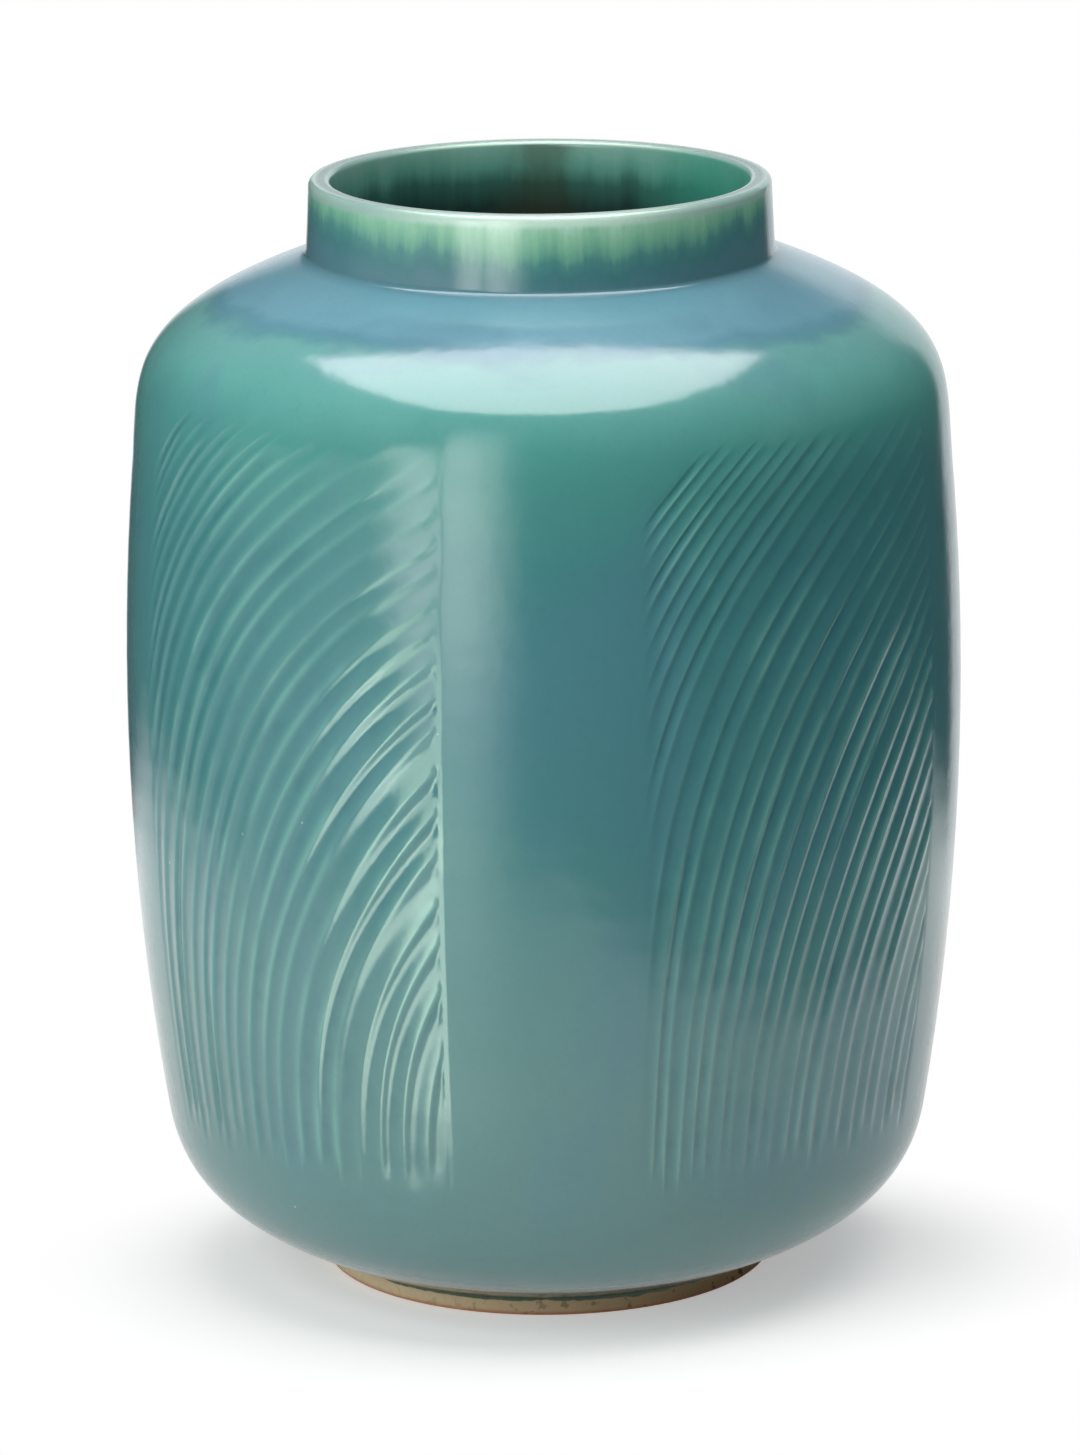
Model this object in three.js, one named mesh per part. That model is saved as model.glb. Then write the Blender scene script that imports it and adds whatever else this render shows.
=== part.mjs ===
import * as THREE from 'three';

// Carved stoneware jar, millimetres, +Z up, foot on z = 0, front facing -Y.
// The jar is thrown in sections that are luted together on level joints.

// Overall form
const HEIGHT = 270;
const BELLY_R = 101.9;
const BELLY_Z = 145;
const BELLY_ARC = 665;
const WALL = 5.8;

// Foot and floor
const FOOT_R = 55;
const FOOT_WIDTH = 8;
const FOOT_H = 5.2;
const FOOT_FLARE = 1.4;
const FLOOR = 6.8;

// Underside, from the foot up to the belly's arc
const UNDER_R = 56.8;
const UNDER_H = 34.8;
const UNDER_SLOPE = 21.9;
const UNDER_PULL = 21.7;
const UNDER_TURN = 19.2;

// Shoulder, from the belly's arc in to the neck
const SHOULDER_H = 51;
const SHOULDER_SLOPE = 20.4;
const SHOULDER_PULL = 46.9;
const SHOULDER_TURN = 24.6;

// Collar with its lip
const NECK_H = 19;
const NECK_R = 56.6;
const NECK_FILLET = 1.6;
const LIP_R = 55.8;
const LIP_WIDTH = 5.3;
const LIP_ROUND = 0.8;
const NECK_WALL = 6.6;

// Joints between the sections
const LOWER_H = 112;
const SHOULDER_JOINT = 6;

// Carved panels: their sides in degrees to the right of the front
const PANELS = [
  { left: 13, right: 67 },
  { left: 104, right: 160 },
  { left: 199, right: 255 },
  { left: 291, right: 346.5 },
];
const CARVE_LOW = 40;
const CARVE_HIGH = 26;
const STROKE_PITCH = 4.2;
const SIDE_REACH = 34;
const STROKE_DEPTH = 0.8;
const HAND = 0.3;
const LIFT_IN = 6;
const EDGE_STEP = 2.2;
const EDGE_DEPTH = 0.36;
const SWEEP = 49;
const SWEEP_ACROSS = 31;
const SWEEP_EASE = 15;

// Fineness of the solids
const ROUND = 48;
const INNER_ROUND = 36;
const ROW = 14;
const BAND_CELL = 12;

// Levels that follow from the sizes
const FLOOR_TOP = FOOT_H + FLOOR;
const NECK_Z = HEIGHT - NECK_H;
const SHOULDER_Z = NECK_Z - SHOULDER_H;
const BELLY_LOW = FOOT_H + UNDER_H;
const LOWER_TOP = FLOOR_TOP + LOWER_H;
const UPPER_TOP = SHOULDER_Z + SHOULDER_JOINT;
const THROAT_R = NECK_R - NECK_WALL;
const CARVE_FROM = CARVE_LOW;
const CARVE_TO = NECK_Z - CARVE_HIGH;

const TURN = 2 * Math.PI;
const rad = THREE.MathUtils.degToRad;
const { clamp, smoothstep } = THREE.MathUtils;
const START = rad(PANELS[0].left - 90);

// Outline of the turned body
function bellyAt(z) {
  const rise = z - BELLY_Z;
  const reach = Math.sqrt(BELLY_ARC ** 2 - rise ** 2);
  return {
    point: new THREE.Vector2(BELLY_R - BELLY_ARC + reach, z),
    up: new THREE.Vector2(-rise, reach).normalize(),
  };
}

function bezier(from, pullFrom, pullTo, to) {
  return new THREE.CubicBezierCurve(from, pullFrom, pullTo, to);
}

const low = bellyAt(BELLY_LOW);
const underFoot = new THREE.Vector2(UNDER_R, FOOT_H);
const underWay = new THREE.Vector2(Math.cos(rad(UNDER_SLOPE)), Math.sin(rad(UNDER_SLOPE)));
const under = bezier(
  underFoot,
  underFoot.clone().addScaledVector(underWay, UNDER_PULL),
  low.point.clone().addScaledVector(low.up, -UNDER_TURN),
  low.point,
);

const high = bellyAt(SHOULDER_Z);
const neckFoot = new THREE.Vector2(NECK_R + NECK_FILLET, NECK_Z);
const shoulderWay = new THREE.Vector2(
  Math.cos(rad(SHOULDER_SLOPE)),
  -Math.sin(rad(SHOULDER_SLOPE)),
);
const over = bezier(
  high.point,
  high.point.clone().addScaledVector(high.up, SHOULDER_TURN),
  neckFoot.clone().addScaledVector(shoulderWay, SHOULDER_PULL),
  neckFoot,
);

const outline = [
  ...under.getPoints(120),
  ...Array.from({ length: 119 }, (_, k) => (
    bellyAt(BELLY_LOW + ((SHOULDER_Z - BELLY_LOW) * (k + 1)) / 120).point
  )),
  ...over.getPoints(160),
];

function radiusIn(line, z) {
  let i = 0;
  while (i < line.length - 2 && line[i + 1].y < z) i += 1;
  const share = (z - line[i].y) / (line[i + 1].y - line[i].y);
  return THREE.MathUtils.lerp(line[i].x, line[i + 1].x, share);
}

const outerRadius = (z) => radiusIn(outline, z);

// The inside follows the outside at the wall's thickness
const lining = outline.slice(1, -1).map((point, k) => {
  const along = outline[k + 2].clone().sub(outline[k]).normalize();
  return new THREE.Vector2(point.x - along.y * WALL, point.y + along.x * WALL);
});
const innerRadius = (z) => radiusIn(lining, z);

function liningBetween(fromZ, toZ, count) {
  const points = lining.filter(({ y }) => y > fromZ + 0.5 && y < toZ - 0.5);
  const step = points.length / count;
  const kept = Array.from({ length: count }, (_, k) => points[Math.floor((k + 0.5) * step)]);
  return kept.map(({ x, y }) => [x, y]);
}

// A closed skin built from rings of points, each with a key to match the next ring by
class Skin {
  constructor() {
    this.points = [];
    this.faces = [];
  }

  add(angle, r, z, key) {
    this.points.push(r * Math.cos(angle), r * Math.sin(angle), z);
    return { id: this.points.length / 3 - 1, key, z };
  }

  ring([r, z], count) {
    return Array.from({ length: count }, (_, k) => {
      const angle = START + (TURN * k) / count;
      return this.add(angle, r, z, angle);
    });
  }

  face(a, b, c) {
    this.faces.push(a.id, b.id, c.id);
  }

  // Fills between two rows that run the same way, one above the other
  fill(below, above) {
    let i = 0;
    let j = 0;
    while (i < below.length - 1 || j < above.length - 1) {
      const nextBelow = below[i + 1]?.key ?? Infinity;
      const nextAbove = above[j + 1]?.key ?? Infinity;
      if (j === above.length - 1 || (i < below.length - 1 && nextBelow <= nextAbove)) {
        this.face(below[i], below[i + 1], above[j]);
        i += 1;
      } else {
        this.face(below[i], above[j + 1], above[j]);
        j += 1;
      }
    }
  }

  // Fills between two columns that both run upwards
  fillSides(left, right) {
    let i = 0;
    let j = 0;
    while (i < left.length - 1 || j < right.length - 1) {
      const nextLeft = left[i + 1]?.z ?? Infinity;
      const nextRight = right[j + 1]?.z ?? Infinity;
      if (j === right.length - 1 || (i < left.length - 1 && nextLeft <= nextRight)) {
        this.face(left[i], right[j], left[i + 1]);
        i += 1;
      } else {
        this.face(left[i], right[j], right[j + 1]);
        j += 1;
      }
    }
  }

  fillRings(below, above) {
    const closed = (ring) => [...ring, { ...ring[0], key: ring[0].key + TURN }];
    this.fill(closed(below), closed(above));
  }

  mesh(name, material) {
    const shape = new THREE.BufferGeometry();
    shape.setAttribute('position', new THREE.Float32BufferAttribute(this.points, 3));
    shape.setIndex(this.faces);
    shape.computeVertexNormals();
    const mesh = new THREE.Mesh(shape, material);
    mesh.name = name;
    return mesh;
  }
}

// Sweep of the strokes. Each stroke is a track that climbs and leans to the right.
// Strokes start on the panel's lower edge or low on its left side, and end on its
// right side or its top. The corner above the first stroke stays plain. A narrow
// slope runs down the right side, where the tool cut all strokes off.
const climbed = (z) => clamp((z - CARVE_FROM) / (CARVE_TO - CARVE_FROM), 0, 1);

function lean(across, z) {
  const up = climbed(z);
  const atLeft = SWEEP * up ** 2.2;
  const gained = SWEEP_ACROSS * smoothstep(up, 0, 0.38);
  const eased = SWEEP_EASE * smoothstep(up, 0.76, 1);
  return Math.tan(rad(atLeft + (gained - eased) * clamp(across, 0, 1)));
}

function levels(from, to, step) {
  const count = Math.max(1, Math.round((to - from) / step));
  return Array.from({ length: count + 1 }, (_, k) => from + ((to - from) * k) / count);
}

const ROWS = [
  ...levels(CARVE_FROM, LOWER_TOP, ROW),
  ...levels(LOWER_TOP, UPPER_TOP, ROW).slice(1),
  ...levels(UPPER_TOP, CARVE_TO, ROW / 2).slice(1),
];

function track(start, width) {
  let x = start;
  let z = ROWS[0];
  return ROWS.map((row) => {
    while (z < row) {
      const step = Math.min(1, row - z);
      x += step * lean(x / width, z + step / 2);
      z += step;
    }
    return x;
  });
}

// Across one stroke: a steep cut just after its ridge, then a slow rise to the next
const SECTION = [
  { share: 0, deep: 0 },
  { share: 0.24, deep: 1 },
  { share: 0.62, deep: 0.62 },
];

function strokeLines(width, panelIndex) {
  const sideStrokes = Math.round(SIDE_REACH / STROKE_PITCH);
  const count = Math.ceil(width / STROKE_PITCH) + sideStrokes + 2;
  const ridges = Array.from({ length: count }, (_, k) => {
    const number = k - sideStrokes;
    const byHand = HAND * Math.sin(2.4 * number + panelIndex);
    return track(number * STROKE_PITCH + byHand, width);
  });
  const lines = [];
  for (let k = 0; k < count - 1; k += 1) {
    for (const { share, deep } of SECTION) {
      const xs = ridges[k].map((x, row) => THREE.MathUtils.lerp(x, ridges[k + 1][row], share));
      lines.push({ key: k + share, deep, xs });
    }
  }
  return { ridges, lines };
}

const panels = PANELS.map(({ left, right }, k) => {
  const next = PANELS[(k + 1) % PANELS.length];
  const width = rad(right - left) * BELLY_R;
  const gap = rad((next.left - right + 360) % 360) * BELLY_R;
  return { from: rad(left - 90), width, gap, ...strokeLines(width, k) };
});

// How much of a full cut there is at a place of the panel
function pressure(x, z) {
  const fromSide = smoothstep(x, 0, LIFT_IN);
  const fromBelow = smoothstep(z, CARVE_FROM, CARVE_FROM + 8);
  const fromTop = smoothstep(CARVE_TO - z, 0, 4);
  return fromSide * fromBelow * fromTop;
}

const isInside = (x, panel) => x > 0.15 && x < panel.width - EDGE_STEP - 0.15;

function carvedRow(skin, row) {
  const z = ROWS[row];
  const r = outerRadius(z);
  return panels.map((panel) => {
    const at = (x, depth, key) => skin.add(panel.from + x / BELLY_R, r - depth, z, key);
    const cuts = panel.lines.filter(({ xs }) => isInside(xs[row], panel));
    const plain = Math.max(0, Math.floor(panel.ridges[0][row] / BAND_CELL - 0.4));
    const edge = panel.width - EDGE_STEP;
    const cells = Math.round(panel.gap / BAND_CELL);
    return {
      start: at(0, 0, cuts[0].key - 0.01),
      corner: Array.from({ length: plain }, (_, n) => at(BAND_CELL * (n + 1), 0, n - plain)),
      cuts: cuts.map(({ key, deep, xs }) => (
        at(xs[row], STROKE_DEPTH * deep * pressure(xs[row], z), key)
      )),
      inner: at(edge, EDGE_DEPTH * pressure(edge, z), cuts.at(-1).key + 0.01),
      outer: at(panel.width, 0),
      band: Array.from({ length: cells - 1 }, (_, n) => (
        at(panel.width + (panel.gap * (n + 1)) / cells, 0)
      )),
    };
  });
}

// Where the strokes cross a side of the panel between two rows
function crossings(panel, row, side, stays) {
  return panel.lines
    .filter(({ xs }) => isInside(xs[row], panel) !== isInside(xs[row + 1], panel))
    .filter(({ xs }) => (stays ? xs[row + 1] > side : xs[row] < side && xs[row + 1] < panel.width / 2))
    .map(({ key, xs }) => {
      const share = clamp((side - xs[row]) / (xs[row + 1] - xs[row]), 0, 1);
      return { key, z: THREE.MathUtils.lerp(ROWS[row], ROWS[row + 1], 0.03 + 0.94 * share) };
    });
}

function carvedBetween(skin, row, below, above) {
  panels.forEach((panel, n) => {
    const low0 = below[n];
    const high0 = above[n];
    const edge = panel.width - EDGE_STEP;
    const put = (x, z, depth, key) => (
      skin.add(panel.from + x / BELLY_R, outerRadius(z) - depth, z, key)
    );
    const entering = crossings(panel, row, 0.15, false);
    const leaving = crossings(panel, row, edge - 0.15, true);
    const enter = entering.map(({ key, z }) => put(0, z, 0, key));
    const inner = leaving.map(({ key, z }) => put(edge, z, EDGE_DEPTH * pressure(edge, z), key));
    const outer = leaving.map(({ z }) => put(panel.width, z, 0));
    skin.fill(
      [...enter, low0.start, ...low0.corner, ...low0.cuts, low0.inner],
      [high0.start, ...high0.corner, ...high0.cuts, high0.inner, ...inner],
    );
    const innerSide = [low0.inner, ...inner.toReversed(), high0.inner];
    const outerSide = [low0.outer, ...outer.toReversed(), high0.outer];
    for (let k = 0; k < innerSide.length - 1; k += 1) {
      skin.face(innerSide[k], outerSide[k], outerSide[k + 1]);
      skin.face(innerSide[k], outerSide[k + 1], innerSide[k + 1]);
    }
    panel.side = { enter: enter.toReversed(), outerSide };
  });
  panels.forEach((panel, n) => {
    const next = (n + 1) % panels.length;
    const columns = [
      panel.side.outerSide,
      ...below[n].band.map((point, k) => [point, above[n].band[k]]),
      [below[next].start, ...panels[next].side.enter, above[next].start],
    ];
    for (let k = 0; k < columns.length - 1; k += 1) skin.fillSides(columns[k], columns[k + 1]);
  });
}

function keyedByAngle(skin, carved) {
  const ring = carved.flatMap(({ start, corner, cuts, inner, outer, band }) => (
    [start, ...corner, ...cuts, inner, outer, ...band]
  ));
  return ring.map(({ id }) => {
    const angle = Math.atan2(skin.points[3 * id + 1], skin.points[3 * id]);
    return { id, key: START + ((angle - START + 2 * TURN + 1e-9) % TURN) };
  });
}

// A wall section: plain rings below, carved rows, plain rings above, then its lining
function wallSection(name, material, { below = [], from, to, above = [], lined }) {
  const skin = new Skin();
  const first = ROWS.findIndex((z) => Math.abs(z - from) < 1e-6);
  const last = ROWS.findIndex((z) => Math.abs(z - to) < 1e-6);
  const carved = [];
  for (let row = first; row <= last; row += 1) carved.push(carvedRow(skin, row));
  carved.slice(1).forEach((upper, k) => carvedBetween(skin, first + k, carved[k], upper));
  const rings = [
    ...below.map((point) => skin.ring(point, ROUND)),
    keyedByAngle(skin, carved[0]),
    keyedByAngle(skin, carved.at(-1)),
    ...above.map((point) => skin.ring(point, ROUND)),
    ...lined.map((point) => skin.ring(point, INNER_ROUND)),
  ];
  rings.forEach((ring, k) => {
    if (k !== below.length) skin.fillRings(ring, rings[(k + 1) % rings.length]);
  });
  return skin.mesh(name, material);
}

// A plain turned piece from a closed outline of [radius, height]
function turned(name, material, profile) {
  const points = [...profile, profile[0]].map(([r, z]) => new THREE.Vector2(r, z));
  const mesh = new THREE.Mesh(new THREE.LatheGeometry(points, ROUND), material);
  mesh.geometry.rotateX(Math.PI / 2);
  mesh.name = name;
  return mesh;
}

// Materials
function fired(color, roughness) {
  return new THREE.MeshStandardMaterial({ color, roughness, metalness: 0 });
}
const bodyGlaze = fired('#4d8f8c', 0.2);
const shoulderGlaze = fired('#6fa9a4', 0.2);
const neckGlaze = fired('#9fd0b8', 0.2);
const bareClay = fired('#9a6f45', 0.85);

const pairs = (curve, count) => curve.getPoints(count).map(({ x, y }) => [x, y]);

// Foot ring of bare clay
const footIn = FOOT_R - FOOT_WIDTH;
const footRing = turned('foot_ring', bareClay, [
  [footIn + 1, 0],
  [FOOT_R - 1, 0],
  [FOOT_R, 1],
  [FOOT_R, FOOT_H - 2],
  [FOOT_R + FOOT_FLARE / 3, FOOT_H - 0.8],
  [FOOT_R + FOOT_FLARE, FOOT_H],
  [footIn - 1, FOOT_H],
  [footIn, FOOT_H - 1.6],
  [footIn, 1],
]);

// Floor slab with the start of the underside
const slabSide = pairs(under, 40).filter(([, z]) => z > FOOT_H && z < FLOOR_TOP - 0.3);
const baseFloor = turned('base_floor', bodyGlaze, [
  [0, FOOT_H],
  [UNDER_R, FOOT_H],
  ...slabSide.filter((_, k) => k % 3 === 2),
  [outerRadius(FLOOR_TOP), FLOOR_TOP],
  [0, FLOOR_TOP],
]);

// Lower wall
const underRings = pairs(under, 14).filter(([, z]) => z > FLOOR_TOP + 1 && z < CARVE_FROM - 1);
const lowerWall = wallSection('lower_wall', bodyGlaze, {
  below: [[outerRadius(FLOOR_TOP), FLOOR_TOP], ...underRings],
  from: CARVE_FROM,
  to: LOWER_TOP,
  lined: [
    [innerRadius(LOWER_TOP), LOWER_TOP],
    ...liningBetween(BELLY_LOW, LOWER_TOP, 3).toReversed(),
    ...liningBetween(FLOOR_TOP, BELLY_LOW, 7).toReversed(),
    [innerRadius(FLOOR_TOP), FLOOR_TOP],
  ],
});

// Upper wall
const upperWall = wallSection('upper_wall', bodyGlaze, {
  from: LOWER_TOP,
  to: UPPER_TOP,
  lined: [
    [innerRadius(UPPER_TOP), UPPER_TOP],
    ...liningBetween(LOWER_TOP, UPPER_TOP, 3).toReversed(),
    [innerRadius(LOWER_TOP), LOWER_TOP],
  ],
});

// Shoulder
const throat = lining.at(-1);
const shoulderRings = pairs(over, 16).filter(([, z]) => z > CARVE_TO + 1.5 && z < NECK_Z - 0.5);
const shoulder = wallSection('shoulder', shoulderGlaze, {
  from: UPPER_TOP,
  to: CARVE_TO,
  above: [...shoulderRings, [neckFoot.x, NECK_Z]],
  lined: [
    [THROAT_R, NECK_Z],
    [THROAT_R + 0.6, NECK_Z - 1.8],
    [(THROAT_R + throat.x) / 2 + 0.5, (NECK_Z + throat.y) / 2 - 0.8],
    ...liningBetween(UPPER_TOP, throat.y + 1, 9).toReversed(),
    [innerRadius(UPPER_TOP), UPPER_TOP],
  ],
});

// Collar and lip
const lipIn = LIP_R - LIP_WIDTH;
const neckCollar = turned('neck_collar', neckGlaze, [
  [THROAT_R, NECK_Z],
  [neckFoot.x, NECK_Z],
  [NECK_R + NECK_FILLET * 0.3, NECK_Z + NECK_FILLET * 0.35],
  [NECK_R, NECK_Z + NECK_FILLET],
  [(NECK_R + LIP_R) / 2, NECK_Z + NECK_H / 2],
  [LIP_R, HEIGHT - LIP_ROUND],
  [LIP_R - LIP_ROUND * 0.3, HEIGHT - LIP_ROUND * 0.3],
  [LIP_R - LIP_ROUND, HEIGHT],
  [lipIn + LIP_ROUND, HEIGHT],
  [lipIn + LIP_ROUND * 0.3, HEIGHT - LIP_ROUND * 0.3],
  [lipIn, HEIGHT - LIP_ROUND],
  [(lipIn + THROAT_R) / 2, NECK_Z + NECK_H / 2],
]);

const jar = new THREE.Group();
jar.name = 'stoneware_vessel';
jar.add(footRing, baseFloor, lowerWall, upperWall, shoulder, neckCollar);

export default jar;
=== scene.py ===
import math

import bpy
import numpy as np
from mathutils import Euler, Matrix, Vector


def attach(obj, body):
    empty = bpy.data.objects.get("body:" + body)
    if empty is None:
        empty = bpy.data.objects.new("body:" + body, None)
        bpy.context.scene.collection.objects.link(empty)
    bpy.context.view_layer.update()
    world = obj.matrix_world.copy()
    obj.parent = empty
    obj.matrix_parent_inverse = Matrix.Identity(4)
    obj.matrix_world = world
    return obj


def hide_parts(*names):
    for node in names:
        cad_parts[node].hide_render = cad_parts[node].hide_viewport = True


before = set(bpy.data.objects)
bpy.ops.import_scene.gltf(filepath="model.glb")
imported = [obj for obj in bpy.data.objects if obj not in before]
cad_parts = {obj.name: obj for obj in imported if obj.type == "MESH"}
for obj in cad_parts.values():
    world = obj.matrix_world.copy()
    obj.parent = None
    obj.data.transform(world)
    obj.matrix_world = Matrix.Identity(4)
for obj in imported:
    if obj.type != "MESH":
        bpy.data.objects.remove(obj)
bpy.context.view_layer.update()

MM = 0.001

# Sizes of the jar in millimetres, as in its solids
HEIGHT = 270.0
BELLY_R = 101.9
BELLY_Z = 145.0
BELLY_ARC = 665.0
BELLY_LOW = 40.0
WALL = 5.8
FOOT_R = 55.0
FOOT_WIDTH = 8.0
FOOT_H = 5.2
FOOT_FLARE = 1.4
FLOOR_TOP = 12.0
# Curves below and above the belly: the end, its slope and the pulls at both ends
UNDER = ((56.8, 5.2), 21.9, 21.7, 19.2)
OVER = ((58.2, 251.0), 20.4, 46.9, 24.6)
SHOULDER_Z = 200.0
NECK_Z = 251.0
NECK_R = 56.6
LIP_R = 55.8
LIP_WIDTH = 5.3
THROAT_R = 50.0
LOWER_TOP = 124.0
UPPER_TOP = 206.0

# Carved panels: their sides in degrees to the right of the front
PANELS = ((13, 67), (104, 160), (199, 255), (291, 346.5))
CARVE_FROM = 40.0
CARVE_TO = 225.0
PITCHES = ((3.6, 5.2), (4.0, 5.6), (3.8, 5.4), (4.2, 6.2))
SIDE_REACH = 34
STROKE_DEPTH = 0.48
HAND = 0.42
LIFT_IN = 6.0
EDGE_STEP = 1.1
EDGE_BLEND = 1.0
EDGE_DEPTH = 0.30
BAND_CELL = 3.0
TRACK_STEP = 0.5
TRACK_Z = np.arange(CARVE_FROM, CARVE_TO + TRACK_STEP / 2, TRACK_STEP)

# Across one stroke: a short fall to the right of the ridge, then a long even rise to the next
SHARES = np.array([0, 0.05, 0.12, 0.19, 0.27, 0.35, 0.44, 0.56, 0.70, 0.83, 0.94])
DEEPS = np.array([0, 0.06, 0.28, 0.58, 0.84, 0.97, 0.97, 0.80, 0.52, 0.25, 0.06])
RIDGES = np.array([1.0, 0.8, 0.3, 0, 0, 0, 0, 0, 0.1, 0.45, 0.85])
FIRST_FALL = 4
# Across the slope beside a panel's right edge, in widths of it
EDGE_ACROSS = np.array([0, 0.25, 0.5, 0.75, 1.0, 1.3, 1.9])

# Keys that order the points of a ring: a panel's side, plain corner, edge and plain band
SIDE_KEY = -900.0
CORNER_KEY = -800.0
EDGE_KEY = 900.0
BAND_KEY = 910.0
PANEL_KEYS = 10000
ALL_KEYS = 1e6

# Angles of the plain rings, outside and inside
ROUND = PANELS[0][0] + np.arange(0, 360, 1.25)
INSIDE = PANELS[0][0] + np.arange(0, 360, 2.5)


def smoothstep(v, low, high):
    t = np.clip((v - low) / (high - low), 0, 1)
    return t * t * (3 - 2 * t)


# Outline of the turned body
def belly_at(z):
    """Point of the belly's arc at a height, and the arc's direction there."""
    rise = z - BELLY_Z
    reach = math.sqrt(BELLY_ARC**2 - rise**2)
    return np.array([BELLY_R - BELLY_ARC + reach, z]), np.array([-rise, reach]) / BELLY_ARC


def bezier(p0, p1, p2, p3, count):
    t = np.linspace(0, 1, count)[:, None]
    return (
        (1 - t) ** 3 * np.array(p0) + 3 * t * (1 - t) ** 2 * np.array(p1)
        + 3 * t * t * (1 - t) * np.array(p2) + t**3 * np.array(p3)
    )


def way(degrees):
    return np.array([math.cos(math.radians(degrees)), math.sin(math.radians(degrees))])


def body_outline():
    low, low_up = belly_at(BELLY_LOW)
    high, high_up = belly_at(SHOULDER_Z)
    foot, foot_slope, foot_pull, foot_turn = UNDER
    neck, neck_slope, neck_pull, neck_turn = OVER
    under = bezier(foot, foot + foot_pull * way(foot_slope), low - foot_turn * low_up, low, 300)
    over = bezier(high, high + neck_turn * high_up, neck + neck_pull * way(-neck_slope), neck, 400)
    middle = [belly_at(z)[0] for z in np.linspace(BELLY_LOW, SHOULDER_Z, 400)[1:-1]]
    return np.vstack([under, middle, over])


OUTLINE = body_outline()
along = np.gradient(OUTLINE, axis=0)
along /= np.hypot(*along.T)[:, None]
LINING = OUTLINE + WALL * np.stack([-along[:, 1], along[:, 0]], 1)


def outer_radius(z):
    return np.interp(z, OUTLINE[:, 1], OUTLINE[:, 0])


def inner_radius(z):
    return np.interp(z, LINING[:, 1], LINING[:, 0])


def hand_thrown(angle, z):
    """How far the hand left the wall inside its true circle."""
    a = np.radians(angle)
    oval = 0.07 * (1 + np.sin(2 * a + 0.6 + z / 90)) + 0.04 * (1 + np.sin(3 * a + 2 + z / 55))
    rings = 0.012 * (1 + np.sin(2 * math.pi * z / 9.5 + a + 1.5 * np.sin(z / 31)))
    return (oval + rings) * smoothstep(z, 6, 30) * smoothstep(NECK_Z - z, 0, 20)


# The strokes
def lean(across, z):
    """How far a stroke moves to the right as it climbs, by its place across the panel."""
    up = np.clip((z - CARVE_FROM) / (CARVE_TO - CARVE_FROM), 0, 1)
    gained = 31 * smoothstep(up, 0, 0.38) - 15 * smoothstep(up, 0.76, 1)
    return np.tan(np.radians(49 * up**2.2 + gained * np.clip(across, 0, 1)))


def tracks(width, panel):
    """Numbers of a panel's ridges, and their places across it at each height of TRACK_Z."""
    narrow, wide = PITCHES[panel]
    before = math.ceil(SIDE_REACH / narrow)
    x = [-narrow * before]
    while x[-1] < width + wide:
        x.append(x[-1] + narrow + (wide - narrow) * smoothstep(x[-1] / width, 0.15, 0.7))
    number = np.arange(len(x)) - before
    x = np.array(x) + HAND * np.sin(2.4 * number + panel)
    rows = [x]
    for z in TRACK_Z[:-1]:
        x = x + TRACK_STEP * lean(x / width, z + TRACK_STEP / 2)
        rows.append(x)
    return number, np.array(rows)


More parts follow.
